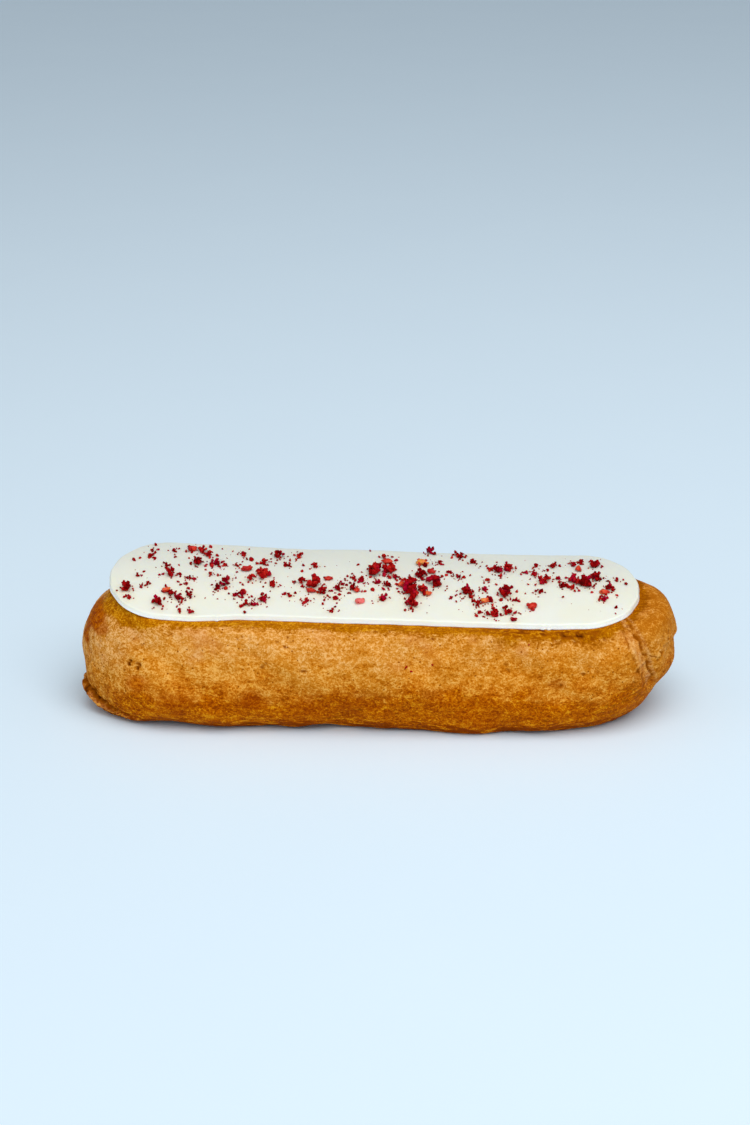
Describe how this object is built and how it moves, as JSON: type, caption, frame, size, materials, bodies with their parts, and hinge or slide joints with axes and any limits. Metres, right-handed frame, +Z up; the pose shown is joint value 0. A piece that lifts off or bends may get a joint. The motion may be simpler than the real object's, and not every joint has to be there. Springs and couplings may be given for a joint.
{
  "type": "eclair",
  "caption": "Filled choux pastry bun, long and round-ended, with a sheet of white icing on top scattered with freeze-dried raspberry crumbs.",
  "frame": {"origin": "under the middle of the bun, on the surface that it stands on", "axes": "+X along the eclair, +Y from its front to its back, +Z up"},
  "size_m": [0.1395, 0.043, 0.0342],
  "materials": {
    "crust": "baked choux crust, amber with pale tan flecks, dry and finely cracked",
    "icing": "rolled white icing, smooth ivory with a soft satin sheen",
    "raspberry": "freeze-dried raspberry crumbs, dark crimson, dry",
    "pip": "raspberry pips and whole drupelets, orange-pink to red, slightly glossy"
  },
  "bodies": {
    "root": {"choux_bun": "crust", "icing_sheet": "icing"}
  },
  "joints": []
}
